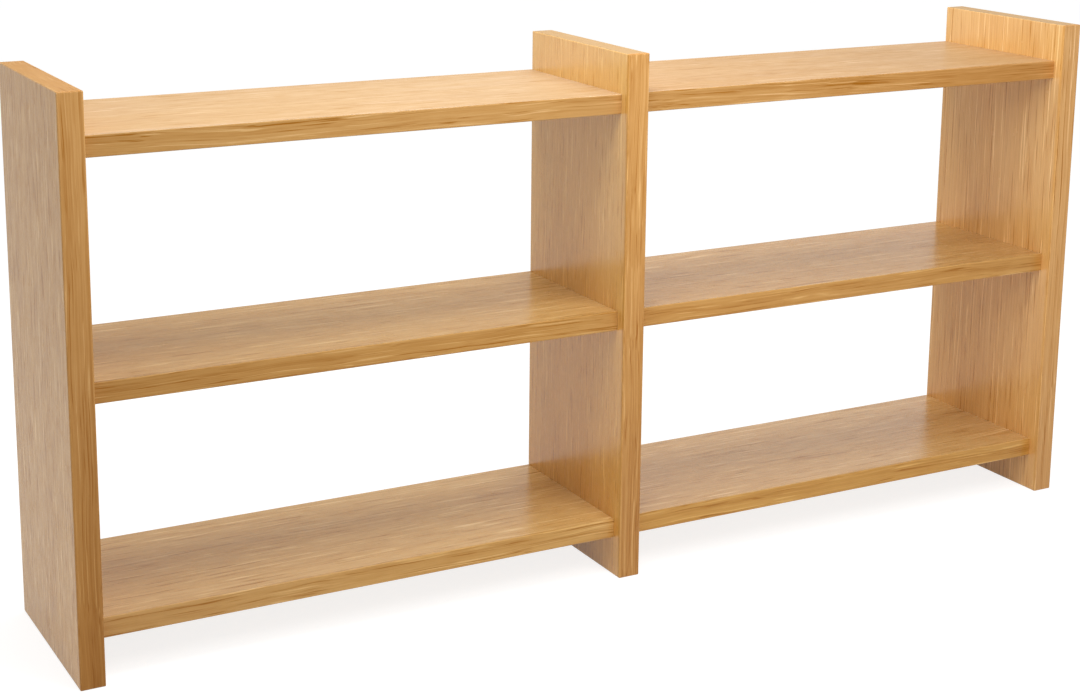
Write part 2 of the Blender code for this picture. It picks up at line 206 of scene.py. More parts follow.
# Dowel wood and metal
BEECH_FLECKS = (220.0, 1600.0)      # spots per metre along and across
BEECH_FIBRES = (8.0, 500.0)
BEECH_TONES = ((0.3, (0.52, 0.33, 0.17)), (0.7, (0.70, 0.49, 0.29)))
BEECH_FLECK = (0.30, 0.16, 0.07)
BEECH_MATT = (0.62, 0.75)           # roughness of the wood and of a fleck
METAL_MOTTLE = 140.0                # spots per metre, as are the next two
METAL_GRAIN = 2600.0
BRUSHED_GRAIN = 60.0
GRAIN_SHARE = 0.45                  # of the finish, the rest being mottle
DULL_AT = 0.32
BRIGHT_AT = 0.68
DULLER = 0.12                       # roughness added where the finish is dull
SMOOTHER = 0.05                     # and taken off where it is bright
METAL_BUMP = 0.12
METAL_RELIEF = 0.0001


# Materials

def add_node(tree, kind, inputs=None, **settings):
    node = tree.nodes.new(kind)
    for key, value in settings.items():
        setattr(node, key, value)
    for key, value in (inputs or {}).items():
        if isinstance(value, bpy.types.NodeSocket):
            tree.links.new(value, node.inputs[key])
        else:
            node.inputs[key].default_value = value
    return node


def calc(tree, operation, *values):
    return add_node(tree, "ShaderNodeMath", dict(enumerate(values)), operation=operation).outputs[0]


def vector_calc(tree, operation, *values):
    node = add_node(tree, "ShaderNodeVectorMath", dict(enumerate(values)), operation=operation)
    return node.outputs["Value" if operation == "LENGTH" else "Vector"]


def parts_of(tree, vector):
    return add_node(tree, "ShaderNodeSeparateXYZ", {0: vector}).outputs


def remap(tree, value, low, high, to_low=0.0, to_high=1.0):
    """Brings a value from one range to another with soft ends."""
    return add_node(tree, "ShaderNodeMapRange", {"Value": value, 1: low, 2: high, 3: to_low, 4: to_high},
                    interpolation_type="SMOOTHSTEP", clamp=True).outputs[0]


def choose(tree, amount, first, second):
    return add_node(tree, "ShaderNodeMix", {0: amount, 2: first, 3: second}, data_type="FLOAT").outputs[0]


def tint(tree, kind, amount, first, second):
    return add_node(tree, "ShaderNodeMix", {0: amount, 6: first, 7: second}, data_type="RGBA",
                    blend_type=kind).outputs[2]


def figure(tree, place, along, across, spot, detail=2.0, roughness=0.5, output="Fac"):
    """Noise drawn out along the grain: spots per metre along and across it."""
    spread = add_node(tree, "ShaderNodeMapping", {"Vector": place, "Scale": (along, across, across),
                                                  "Location": spot}).outputs[0]
    return add_node(tree, "ShaderNodeTexNoise", {"Vector": spread, "Scale": 1.0, "Detail": detail,
                                                 "Roughness": roughness}).outputs[output]


def ramp(tree, value, stops):
    node = add_node(tree, "ShaderNodeValToRGB", {"Fac": value})
    elements = node.color_ramp.elements
    while len(elements) < len(stops):
        elements.new(0.5)
    for element, (position, colour) in zip(elements, stops):
        element.position = position
        element.color = (*colour, 1.0)
    return node.outputs["Color"]


def new_material(name):
    material = bpy.data.materials.new(name)
    material.use_nodes = True
    tree = material.node_tree
    place = add_node(tree, "ShaderNodeTexCoord").outputs["Object"]
    return material, tree, tree.nodes["Principled BSDF"], place


def times(colour, factors):
    return tuple(a * b for a, b in zip(colour, factors))


def edge_nearness(tree, place, box, reach):
    """1 on the edges of a board's box, falling to 0 over the reach."""
    low, high = box
    middle, half = (low + high) / 2, (high - low) / 2
    from_middle = vector_calc(tree, "ABSOLUTE", vector_calc(tree, "SUBTRACT", place, tuple(middle)))
    depth = parts_of(tree, vector_calc(tree, "SUBTRACT", tuple(half), from_middle))
    nearest = calc(tree, "MINIMUM", depth[0], depth[1])
    other = calc(tree, "MINIMUM", calc(tree, "MAXIMUM", depth[0], depth[1]), depth[2])
    return remap(tree, calc(tree, "MAXIMUM", nearest, other), 0.0, reach, 1.0, 0.0)


def grain_directions(tree, grain, place):
    """A point's place along, across and into the wood, how squarely its face is a board's broad one,
    and where it is end grain, which only upright boards show."""
    x, y, z = parts_of(tree, place)
    normal = add_node(tree, "ShaderNodeNewGeometry").outputs["Normal"]
    facing = [calc(tree, "ABSOLUTE", part) for part in parts_of(tree, normal)]
    if grain == "X":
        along, across, depth, broad, on_end = x, y, z, facing[2], None
    else:
        on_end = remap(tree, facing[2], *END_FACE)
        along, across, depth = (choose(tree, on_end, a, b) for a, b in ((z, y), (y, x), (x, z)))
        broad = facing[0]
    log = add_node(tree, "ShaderNodeCombineXYZ", {0: along, 1: across, 2: depth}).outputs[0]
    return log, broad, on_end


def early_wood(tree, log, spot, look):
    """1 in the open wood that starts each growth ring, 0 in the dense wood after it."""
    from_pith = vector_calc(tree, "SUBTRACT", log, (0.0, *look.pith))
    radius = vector_calc(tree, "LENGTH", vector_calc(tree, "MULTIPLY", from_pith, (0.0, 1.0, 1.0)))
    years = calc(tree, "DIVIDE", radius, look.ring)
    slow_years = calc(tree, "MULTIPLY_ADD", years, RING_DRIFT, spot[0])
    uneven = add_node(tree, "ShaderNodeTexNoise", {"W": slow_years, "Scale": 1.0, "Detail": 1.0},
                      noise_dimensions="1D").outputs["Fac"]
    year = calc(tree, "FRACT", calc(tree, "MULTIPLY_ADD", uneven, RING_SHIFT, years))
    running_out = remap(tree, year, 0.0, EARLY_WOOD, 1.0, 0.0)
    return calc(tree, "MAXIMUM", running_out, remap(tree, year, LATE_WOOD, 1.0))


def oak_figure(tree, log, on_end, spot, look):
    """Oak's place on the ramp of tones, its open pores, its fibres and its warm patches."""
    back_spot = spot[::-1]

    def spots(name, spot, stretch=1.0, fine=1.0, **more):
        along, across, detail = FIGURE[name]
        return figure(tree, log, along / stretch, across * fine, spot, detail, **more)

    drift = vector_calc(tree, "SUBTRACT", spots("drift", spot, output="Color"), (0.5, 0.5, 0.5))
    log = vector_calc(tree, "MULTIPLY_ADD", drift, (0.0, look.bend, look.bend), log)
    early = early_wood(tree, log, spot, look)
    fibres = spots("fibres", spot, look.length, roughness=0.6)
    pore = remap(tree, spots("pores", back_spot, look.length), *PORE_DASH)
    pore = calc(tree, "MULTIPLY", pore, calc(tree, "MULTIPLY_ADD", early, 0.5, 0.5))
    layers = (
        (spots("patches", spot), look.patch * 2),
        (spots("flecks", back_spot), look.flecks * 2),
        (spots("stripes", spot), look.stripes * 2),
        (spots("flames", back_spot), look.flame * 2),
        (fibres, look.fibre * 2),
        (remap(tree, spots("pale lines", back_spot, look.length, look.fine), *PALE_LINE), look.light_lines),
        (remap(tree, spots("dark lines", spot, look.length, look.fine), *DARK_LINE), -look.dark_lines),
        (early, -look.rings),
    )
    shade = EVEN_SHADE - look.patch - look.flame - look.flecks - look.stripes - look.fibre
    for layer, strength in layers:
        shade = calc(tree, "MULTIPLY_ADD", layer, strength, shade)
    if on_end is not None:
        shade = choose(tree, calc(tree, "MULTIPLY", on_end, END_CALM), shade, EVEN_SHADE)
        pore = calc(tree, "MULTIPLY", pore, calc(tree, "MULTIPLY_ADD", on_end, -END_CALM, 1.0))
    warm = remap(tree, spots("warmth", back_spot), *WARM_PATCH, 0.0, look.warmth)
    return shade, pore, fibres, warm


def oak(name, grain, box, seed, tone, **settings):
    """Lacquered oak: growth rings, pale and dark lines of fibre, dashes of pores and slow patches of tone."""
    look = SimpleNamespace(**{**OAK, **settings})
    material, tree, shader, place = new_material(name)
    spot = [(seed * step) % SEED_SPAN for step in SEED_STEPS]
    log, broad, on_end = grain_directions(tree, grain, place)
    shade, pore, fibres, warm = oak_figure(tree, log, on_end, spot, look)

    colour = ramp(tree, shade, ((0.0, times(tone, DARK_GRAIN)), (0.50, tone),
                                (0.80, times(tone, PALE_GRAIN)), (1.0, times(tone, BRIGHT_GRAIN))))
    open_pore = (*times(tone, OPEN_PORE), 1.0)
    colour = tint(tree, "MIX", calc(tree, "MULTIPLY", pore, look.pores), colour, open_pore)
    colour = tint(tree, "MULTIPLY", warm, colour, (*WARM_TINT, 1.0))
    # painted light and shade: the colour runs from one tint at the board's lower or left end to another at
    # its other end
    if look.fade[0] != look.fade[1]:
        axis = "XYZ".index(grain)
        run = remap(tree, parts_of(tree, place)[axis], box[0][axis], box[1][axis])
        fade = ramp(tree, run, ((0.0, look.fade[0]), (1.0, look.fade[1])))
        colour = tint(tree, "MULTIPLY", 1.0, colour, fade)
    if on_end is not None:
        colour = tint(tree, "MULTIPLY", on_end, colour, (*look.end, 1.0))
    colour = tint(tree, "MULTIPLY", remap(tree, broad, *BROAD_FACE), colour, (*look.cover, 1.0))
    # edges lightened in patches: partly worn lacquer, partly a painted highlight on the rounded edges
    wear_and_highlight = remap(tree, figure(tree, place, WEAR_AND_HIGHLIGHT_SPOTS, WEAR_AND_HIGHLIGHT_SPOTS, spot), *WEAR_AND_HIGHLIGHT_SPOT)
    wear_and_highlight = calc(tree, "MULTIPLY", edge_nearness(tree, place, box, WEAR_AND_HIGHLIGHT_REACH), wear_and_highlight)
    colour = tint(tree, "MIX", calc(tree, "MULTIPLY", wear_and_highlight, WEAR_AND_HIGHLIGHT), colour, (*times(tone, WORN_AND_HIGHLIT_EDGE), 1.0))
    tree.links.new(colour, shader.inputs["Base Color"])

    mottle = figure(tree, place, GLOSS_SPOTS, GLOSS_SPOTS, spot, 3.0)
    sheen = calc(tree, "MULTIPLY_ADD", mottle, GLOSS_MOTTLE, look.gloss - GLOSS_MOTTLE / 2)
    sheen = calc(tree, "MULTIPLY_ADD", pore, PORE_DULLNESS, sheen)
    if on_end is not None:
        sheen = calc(tree, "MULTIPLY_ADD", on_end, END_DULLNESS, sheen)
    tree.links.new(calc(tree, "MULTIPLY_ADD", wear_and_highlight, -WORN_POLISH, sheen), shader.inputs["Roughness"])
    shader.inputs["Specular IOR Level"].default_value = look.lacquer
    height = calc(tree, "MULTIPLY_ADD", pore, -1.0, calc(tree, "MULTIPLY", fibres, 0.5))
    bump = add_node(tree, "ShaderNodeBump", {"Height": height, **GRAIN_RELIEF})
    tree.links.new(bump.outputs[0], shader.inputs["Normal"])
    return material


def beech(name):
    """Plain dowel wood with its short dark flecks."""
    material, tree, shader, place = new_material(name)
    fleck = remap(tree, figure(tree, place, *BEECH_FLECKS, (3.0, 8.0, 5.0), 1.0), 0.60, 0.68)
    tone = ramp(tree, figure(tree, place, *BEECH_FIBRES, (1.0, 2.0, 3.0), 3.0), BEECH_TONES)
    colour = tint(tree, "MIX", calc(tree, "MULTIPLY", fleck, 0.6), tone, (*BEECH_FLECK, 1.0))
    tree.links.new(colour, shader.inputs["Base Color"])
    tree.links.new(remap(tree, fleck, 0.0, 1.0, *BEECH_MATT), shader.inputs["Roughness"])
    return material


def metal(name, dull, bright, gloss, brushed=None, pitted=0.0):
    """Metal with a mottled finish: brushed along an axis, or finely pitted as cast."""
    material, tree, shader, place = new_material(name)
    mottle = figure(tree, place, METAL_MOTTLE, METAL_MOTTLE, (5.0, 9.0, 2.0), 4.0, 0.6)
    if brushed:
        scale = [METAL_GRAIN, METAL_GRAIN, METAL_GRAIN]
        scale["XYZ".index(brushed)] = BRUSHED_GRAIN
        lines = add_node(tree, "ShaderNodeMapping", {"Vector": place, "Scale": scale}).outputs[0]
        noise = add_node(tree, "ShaderNodeTexNoise", {"Vector": lines, "Scale": 1.0, "Detail": 2.0})
        grain = noise.outputs["Fac"]
    else:
        grain = figure(tree, place, METAL_GRAIN, METAL_GRAIN, (1.0, 4.0, 7.0), 2.0)
    mottle = calc(tree, "MULTIPLY", mottle, 1.0 - GRAIN_SHARE)
    mixed = calc(tree, "MULTIPLY_ADD", grain, GRAIN_SHARE, mottle)
    tree.links.new(ramp(tree, mixed, ((DULL_AT, dull), (BRIGHT_AT, bright))), shader.inputs["Base Color"])
    rough = remap(tree, mixed, 0.3, 0.7, gloss + DULLER, gloss - SMOOTHER)
    tree.links.new(rough, shader.inputs["Roughness"])
    bump = add_node(tree, "ShaderNodeBump", {"Height": grain, "Strength": METAL_BUMP + pitted,
                                             "Distance": METAL_RELIEF})
    tree.links.new(bump.outputs[0], shader.inputs["Normal"])
    shader.inputs["Metallic"].default_value = 1.0
    return material


# Shapes

def corners(node):
    """A node's lowest and highest corners."""
    return [Vector(c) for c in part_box(node)]


def to_object(bm, name):
    mesh = bpy.data.meshes.new(name)
    bm.to_mesh(mesh)
    bm.free()
    obj = bpy.data.objects.new(name, mesh)
    bpy.context.scene.collection.objects.link(obj)
    return obj


def rod(bm, start, end, radius, segments=32):
    """Adds a capped round bar from one point to another."""
    start, end = Vector(start), Vector(end)
    turn = (end - start).to_track_quat("Z", "Y").to_matrix().to_4x4()
    bmesh.ops.create_cone(bm, cap_ends=True, segments=segments, radius1=radius, radius2=radius,
                          depth=(end - start).length, matrix=Matrix.Translation((start + end) / 2) @ turn)


def turned(bm, centre, profile):
    """Adds a shape turned about an axis towards the wall, from a profile of radii and depths."""
    x, y, z = centre
    verts = [bm.verts.new((x + radius, y + depth, z)) for radius, depth in profile]
    edges = [bm.edges.new(pair) for pair in zip(verts, verts[1:])]
    bmesh.ops.spin(bm, geom=verts + edges, cent=centre, axis=(0, 1, 0), angle=2 * math.pi, steps=32,
                   use_merge=True)
    bmesh.ops.remove_doubles(bm, verts=bm.verts, dist=MERGE)
    bmesh.ops.recalc_face_normals(bm, faces=bm.faces)


def block(bm, low, high):
    low, high = Vector(low), Vector(high)
    bmesh.ops.create_cube(bm, size=1.0,
                          matrix=Matrix.Translation((low + high) / 2) @ Matrix.Diagonal((*(high - low), 1.0)))


def runs_along(edge, axis):
    return abs(edge.verts[0].co[axis] - edge.verts[1].co[axis]) > TOUCH


def edges_at(bm, axis, place):
    return [e for e in bm.edges if all(abs(v.co[axis] - place) < TOUCH for v in e.verts)]


def round_edges(bm, edges, radius, segments):
    bmesh.ops.bevel(bm, geom=edges, offset=radius, offset_type="OFFSET", segments=segments, profile=0.5,
                    affect="EDGES", material=-1)


def rounded_plate(bm, low, high, radius):
    """Adds a block whose corners are rounded as seen from the wall."""
    block(bm, low, high)
    round_edges(bm, [e for e in bm.edges if runs_along(e, 1)], radius, segments=8)


def cut(obj, tools):
    """Takes each tool's volume out of the piece, one after another, and closes up what falls together."""
    for make in tools:
        bm = bmesh.new()
        make(bm)
        bmesh.ops.recalc_face_normals(bm, faces=bm.faces)
        tool = to_object(bm, "tool")
        step = obj.modifiers.new("cut", "BOOLEAN")
        step.operation = "DIFFERENCE"
        step.solver = "EXACT"
        step.object = tool
        shape = bpy.data.meshes.new_from_object(obj.evaluated_get(bpy.context.evaluated_depsgraph_get()))
        obj.modifiers.clear()
        old = obj.data
        obj.data = shape
        bpy.data.meshes.remove(old)
        used = tool.data
        bpy.data.objects.remove(tool)
        bpy.data.meshes.remove(used)
    bm = bmesh.new()
    bm.from_mesh(obj.data)
    bmesh.ops.remove_doubles(bm, verts=bm.verts, dist=MERGE)
    bmesh.ops.dissolve_degenerate(bm, dist=MERGE, edges=bm.edges)
    bm.to_mesh(obj.data)
    bm.free()
    return obj


def finish_piece(obj, material, body, nodes):
    """Shades the piece, joins it to its body and lets it stand for its nodes."""
    obj.data.materials.clear()
    obj.data.materials.append(material)
    obj.data.shade_smooth()
    obj.data.set_sharp_from_angle(angle=math.radians(SHARP))
    even = obj.modifiers.new("even shading", "WEIGHTED_NORMAL")
    even.keep_sharp = True
    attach(obj, body)
    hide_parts(*nodes)
    return obj


def eased_board(name, box, glued, ends=EASE):
    """A board rounded along its length and at its ends, but not at its glued face."""
    low, high = box
    bm = bmesh.new()
    block(bm, low, high)
    glue = low.y if glued == "front" else high.y
    length = max(range(3), key=lambda i: high[i] - low[i])

    def free_edges():
        return [e for e in bm.edges if any(abs(v.co.y - glue) > TOUCH for v in e.verts)]

    if ends == EASE:
        round_edges(bm, free_edges(), EASE, segments=6)
    else:
        round_edges(bm, [e for e in free_edges() if runs_along(e, length)], EASE, segments=6)
        round_edges(bm, [e for e in free_edges() if not runs_along(e, length)], ends, segments=2)
    return to_object(bm, name)


def shelf_bores(node):
    """Cam bores from below, bolt and dowel bores from both ends."""
    low, high = corners(node)
    middle = (low.z + high.z) / 2
    cam_top = middle + BALL_ROOM + CAM_LID + BORE_GAP
    for end, inward in ((low.x, 1.0), (high.x, -1.0)):
        face = end - inward * BORE_GAP
        outside = end - inward * OVERCUT
        cam_x = face + inward * CAM_FROM_END
        dowel_x = face + inward * (DOWEL_REACH + BORE_GAP)
        yield lambda bm, x=cam_x: rod(bm, (x, CAM_Y, low.z - OVERCUT), (x, CAM_Y, cam_top),
                                      CAM_RADIUS + BORE_GAP, segments=64)
        yield lambda bm, x=cam_x, o=outside: rod(bm, (o, CAM_Y, middle), (x, CAM_Y, middle),
                                                 SHANK_RADIUS + BORE_GAP)
        yield lambda bm, x=dowel_x, o=outside: rod(bm, (o, DOWEL_Y, middle), (x, DOWEL_Y, middle),
                                                   DOWEL_RADIUS + BORE_GAP)


def upright_bores(node):
    """Bolt and dowel holes on the inner faces, and the hanger's recess, pocket and screw holes behind."""
    name = node.removesuffix("_upright")
    low, high = corners(node)
    centre = (low.x + high.x) / 2
    if name == "middle":
        ends = low.x - OVERCUT, high.x + OVERCUT
    elif name == "left":
        ends = high.x + OVERCUT, high.x - BLIND_DEPTH - BORE_GAP
    else:
        ends = low.x - OVERCUT, low.x + BLIND_DEPTH + BORE_GAP
    bolt_radius = SHANK_RADIUS if name == "middle" else THREAD_RADIUS
    bay = "right" if name == "right" else "left"
    for level in LEVELS:
        shelf_low, shelf_high = corners(f"{bay}_{level}_shelf")
        z = (shelf_low.z + shelf_high.z) / 2
        for y, radius in ((CAM_Y, bolt_radius), (DOWEL_Y, DOWEL_RADIUS)):
            yield lambda bm, y=y, z=z, r=radius: rod(bm, (ends[0], y, z), (ends[1], y, z), r + BORE_GAP)
    wide = HANGER_WIDTH / 2 + BORE_GAP
    tall = HANGER_HEIGHT / 2 + BORE_GAP
    yield lambda bm: rounded_plate(bm, (centre - wide, -HANGER_SEAT, HANGER_Z - tall),
                                   (centre + wide, OVERCUT, HANGER_Z + tall), HANGER_CORNER + BORE_GAP)
    pocket_wide = KEYHOLE_RADIUS + POCKET_MARGIN
    pocket_tall = pocket_wide + KEYHOLE_TRAVEL / 2
    yield lambda bm: block(bm, (centre - pocket_wide, -HANGER_SEAT - POCKET_DEPTH, HANGER_Z - pocket_tall),
                           (centre + pocket_wide, OVERCUT, HANGER_Z + pocket_tall))
    for side in (-1, 1):
        z = HANGER_Z + side * SCREW_SPACING / 2
        yield lambda bm, z=z: rod(bm, (centre, OVERCUT, z), (centre, -SCREW_LENGTH - 2 * BORE_GAP, z),
                                  SCREW_RADIUS + BORE_GAP, segments=24)


def cross(centre, axis, length, width, depth):
    """The two cutters of a cross recess for a screwdriver, narrowing to its floor."""
    out = Vector(axis)
    turn = out.to_track_quat("Z", "Y").to_matrix().to_4x4()
    seat = Matrix.Translation(Vector(centre) + out * (OVERCUT - depth) / 2) @ turn

    def blade(bm, angle):
        size = Matrix.Diagonal((length, width, depth + OVERCUT, 1.0))
        verts = bmesh.ops.create_cube(bm, size=1.0, matrix=size)["verts"]
        bmesh.ops.scale(bm, vec=(DRIVE_TAPER, 1.0, 1.0), verts=[v for v in verts if v.co.z < 0])
        bmesh.ops.transform(bm, verts=verts, matrix=seat @ Matrix.Rotation(angle, 4, "Z"))

    return [lambda bm: blade(bm, 0.0), lambda bm: blade(bm, math.pi / 2)]


def cam(name, node, bolt_side):
    """A cast cam: eccentric chamber, neck slot and mouth inside, cross recess and arrow on its face."""
    low, high = corners(node)
    x, y, face = (low.x + high.x) / 2, (low.y + high.y) / 2, low.z
    z = face - CAM_FACE
    reach = CAM_RADIUS + OVERCUT
    bm = bmesh.new()
    rod(bm, (x, y, face), (x, y, high.z), CAM_RADIUS, segments=64)
    round_edges(bm, edges_at(bm, 2, face), CAM_RIM, segments=3)
    obj = to_object(bm, name)

    def chamber(bm):
        rod(bm, (x, y, z - BALL_ROOM), (x, y, z + BALL_ROOM), BALL_ROOM, segments=48)
        for v in bm.verts:
            way = v.co - Vector((x, y, v.co.z))
            grow = CAM_DRAW * (1 - bolt_side * way.x / way.length) / 2
            v.co += way.normalized() * grow

    def slot(bm):
        block(bm, (x - reach, y - (NECK_ROOM if bolt_side > 0 else reach), z - NECK_ROOM),
              (x + reach, y + (reach if bolt_side > 0 else NECK_ROOM), z + NECK_ROOM))

    def mouth(bm):
        rod(bm, (x, y, z), (x - bolt_side * reach, y, z), BALL_ROOM)

    def arrow(bm):
        centre = x + bolt_side * ARROW_FROM_AXIS
        rod(bm, (centre, y, face - OVERCUT), (centre, y, face + ARROW_DEPTH), ARROW_RADIUS, segments=3)
        tip = max(bm.verts, key=lambda v: abs(v.co.x - centre)).co.x - centre
        if tip * bolt_side < 0:
            half_turn = Matrix.Rotation(math.pi, 3, "Z")
            bmesh.ops.rotate(bm, cent=(centre, y, face), matrix=half_turn, verts=bm.verts)

    return cut(obj, [chamber, slot, mouth, arrow, *cross((x, y, face), (0, 0, -1), *CAM_DRIVE)])


def hanger(name, node):
    """A stamped keyhole plate with countersunk screw holes."""
    low, high = corners(node)
    x, z = (low.x + high.x) / 2, (low.z + high.z) / 2
    bm = bmesh.new()
    rounded_plate(bm, low, high, HANGER_CORNER)
    round_edges(bm, edges_at(bm, 1, high.y), HANGER_RIM, segments=3)
    obj = to_object(bm, name)
    front, back = high.y + OVERCUT, low.y - OVERCUT
    wide, narrow = z - KEYHOLE_TRAVEL / 2, z + KEYHOLE_TRAVEL / 2
    half = KEYHOLE_SLOT * SLOT_FIT
    tools = [lambda bm: rod(bm, (x, back, wide), (x, front, wide), KEYHOLE_RADIUS, segments=48),
             lambda bm: rod(bm, (x, back, narrow), (x, front, narrow), KEYHOLE_SLOT),
             lambda bm: block(bm, (x - half, back, wide), (x + half, front, narrow))]
    slope = (SCREW_HEAD_RADIUS - SCREW_RADIUS) / SCREW_HEAD_DEPTH
    sink = SCREW_HEAD_DEPTH + BORE_GAP
    bore = SCREW_RADIUS + BORE_GAP
    profile = [(0.0, OVERCUT), (bore + slope * (sink + OVERCUT), OVERCUT), (bore, -sink),
               (bore, back - high.y), (0.0, back - high.y)]
    for side in (-1, 1):
        tools.append(lambda bm, hole=z + side * SCREW_SPACING / 2: turned(bm, (x, high.y, hole), profile))
    return cut(obj, tools)


def screw(name, node):
    """A countersunk screw turned from its profile, with a cross recess in its head."""
    low, high = corners(node)
    x, z, head = (low.x + high.x) / 2, (low.z + high.z) / 2, high.y
    profile = [(0.0, 0.0), (SCREW_HEAD_RADIUS - SCREW_RIM, 0.0), (SCREW_HEAD_RADIUS, -SCREW_RIM),
               (SCREW_RADIUS, -SCREW_HEAD_DEPTH), (SCREW_RADIUS, SCREW_POINT - SCREW_LENGTH),
               (0.0, -SCREW_LENGTH)]
    bm = bmesh.new()
    turned(bm, (x, head, z), profile)
    obj = to_object(bm, name)
    return cut(obj, cross((x, head, z), (0, 1, 0), *SCREW_DRIVE))


# Boards: one oak each, with its own tone, figure and painted shading. First the veneer's settings, then the
# front strip's.

VENEER = (0.62, 0.37, 0.155)
SOLID = (0.60, 0.32, 0.105)
VENEER_OAK = {
    "X": dict(light_lines=0.50, dark_lines=0.42, length=0.8, fine=0.75, flecks=0.18, stripes=0.12,
              bend=0.008),
    "Z": {},
}
STRIP = dict(ring=0.0085, rings=0.08, bend=0.012, patch=0.16, light_lines=0.48, dark_lines=0.50, pores=0.2,
             fine=1.2)
STRIP_OAK = {
    "X": dict(STRIP, flame=0.30, length=1.6, stripes=0.32),
    "Z": dict(STRIP, flame=0.14, length=2.0, stripes=0.42),
}
STRIP_LACQUER = 0.25            # the most that a strip has
STRIP_PITH = (-0.24, -0.05)     # its Y, and its distance from the strip's lower or left face
UPRIGHT_OAK = {
    "left": (
        dict(tone=(1.103, 1.048, 0.886), lacquer=0.12, light_lines=0.55, dark_lines=0.55, pores=0.50,
             flecks=0.35, length=0.5, fine=0.55, end=(0.65, 0.60, 0.55)),
        dict(tone=(0.935, 0.920, 0.914), fade=((0.72, 0.62, 0.46), PLAIN), stripes=0.30, dark_lines=0.30),
    ),
    "middle": (
        dict(tone=(1.207, 1.143, 0.746), lacquer=0.65, gloss=0.22, light_lines=0.34, dark_lines=0.34,
             length=0.5, fine=0.95, end=(0.55, 0.53, 0.54), fade=((0.94, 0.88, 0.77), (1.05, 1.14, 1.40))),
        dict(tone=(1.115, 1.096, 1.042), fade=((0.80, 0.74, 0.66), PLAIN)),
    ),
    "right": (
        dict(tone=(1.264, 1.200, 0.944), lacquer=0.65, light_lines=0.58, dark_lines=0.46, pores=0.40,
             stripes=0.22, length=1.3, fine=0.95, end=(0.59, 0.59, 0.60),
             fade=((0.98, 0.95, 0.90), (1.05, 1.11, 1.24))),
        dict(tone=(1.215, 1.221, 1.321), fade=((0.92, 0.90, 0.88), PLAIN)),
    ),
}
SHELF_OAK = {
    "left_top": (
        # the pale, bluish tone with almost no lacquer is partly the board's own colour, partly a painted
        # reflection
        dict(tone=(0.867, 0.960, 1.257), lacquer=0.05, gloss=0.50, light_lines=0.30, dark_lines=0.28,
             flecks=0.10, fade=((0.98, 0.96, 0.91), (1.01, 1.03, 1.06))),
        dict(tone=(0.901, 0.907, 0.907), fade=((0.92, 0.94, 0.97), PLAIN)),
    ),
    "left_middle": (
        dict(tone=(0.934, 0.930, 0.780), lacquer=0.09, fade=((0.95, 0.94, 0.88), (1.04, 1.06, 1.10))),
        dict(tone=(0.945, 0.946, 0.889), fade=((0.84, 0.82, 0.80), PLAIN)),
    ),
    "left_bottom": (
        dict(tone=(1.038, 1.052, 0.908), lacquer=0.3, fade=((0.96, 0.95, 0.92), (1.03, 1.05, 1.07))),
        dict(tone=(1.019, 1.060, 0.960), fade=((0.90, 0.89, 0.97), PLAIN)),
    ),
    "right_top": (
        # the pale, bluish tone with almost no lacquer is partly the board's own colour, partly a painted
        # reflection
        dict(tone=(0.882, 0.906, 1.038), lacquer=0.03, gloss=0.38, light_lines=0.30, dark_lines=0.28,
             flecks=0.10),
        dict(tone=(1.005, 1.020, 1.068), fade=((0.97, 0.98, 1.0), (0.97, 0.87, 0.73))),
    ),
    "right_middle": (
        dict(tone=(0.970, 0.940, 0.778), lacquer=0.2),
        dict(tone=(1.017, 0.986, 0.833), fade=((0.95, 0.94, 0.94), PLAIN)),
    ),
    "right_bottom": (
        dict(tone=(1.044, 1.047, 0.927), lacquer=0.5),
        dict(tone=(1.056, 1.033, 0.775), fade=((0.95, 0.95, 0.94), (1.04, 1.05, 1.05))),
    ),
}


def toned(base, settings):
    """A board's settings with its tone worked out from the base colour."""
    return {**settings, "tone": times(base, settings["tone"])}


def board_pieces(node, grain, bores, veneer, solid, seed):
    """A veneered board and the solid strip on its front edge, closed up with no gap between them."""
    box, strip = corners(node), corners(f"{node}_lipping")
    strip[1].y = box[0].y
    ends = EASE
    if grain == "X":
        ends = ARRIS
        for low, high in (box, strip):
            low.x -= BORE_GAP * END_FILL
            high.x += BORE_GAP * END_FILL
    veneer = toned(VENEER, {**VENEER_OAK[grain], **veneer})
    solid = toned(SOLID, solid)
    solid = {**STRIP_OAK[grain],
             "lacquer": min(STRIP_LACQUER, veneer["lacquer"]),
             "cover": [a / b for a, b in zip(veneer["tone"], solid["tone"])],
             "pith": (STRIP_PITH[0], (strip[0].z if grain == "X" else strip[0].x) + STRIP_PITH[1]),
             **solid}
    finish_piece(cut(eased_board(f"{node}_board", box, "front", ends), bores(node)),
                 oak(f"{node}_oak", grain, box, seed, **veneer), "carcase", [node])
    finish_piece(eased_board(f"{node}_strip", strip, "back", ends),
                 oak(f"{node}_strip_oak", grain, strip, seed + 0.5, **solid),
                 "carcase", [f"{node}_lipping"])


for seed, (name, (veneer, solid)) in enumerate(UPRIGHT_OAK.items(), start=2):
    board_pieces(f"{name}_upright", "Z", upright_bores, veneer, solid, seed)
for seed, (name, (veneer, solid)) in enumerate(SHELF_OAK.items(), start=5):
    board_pieces(f"{name}_shelf", "X", shelf_bores, veneer, solid, seed)

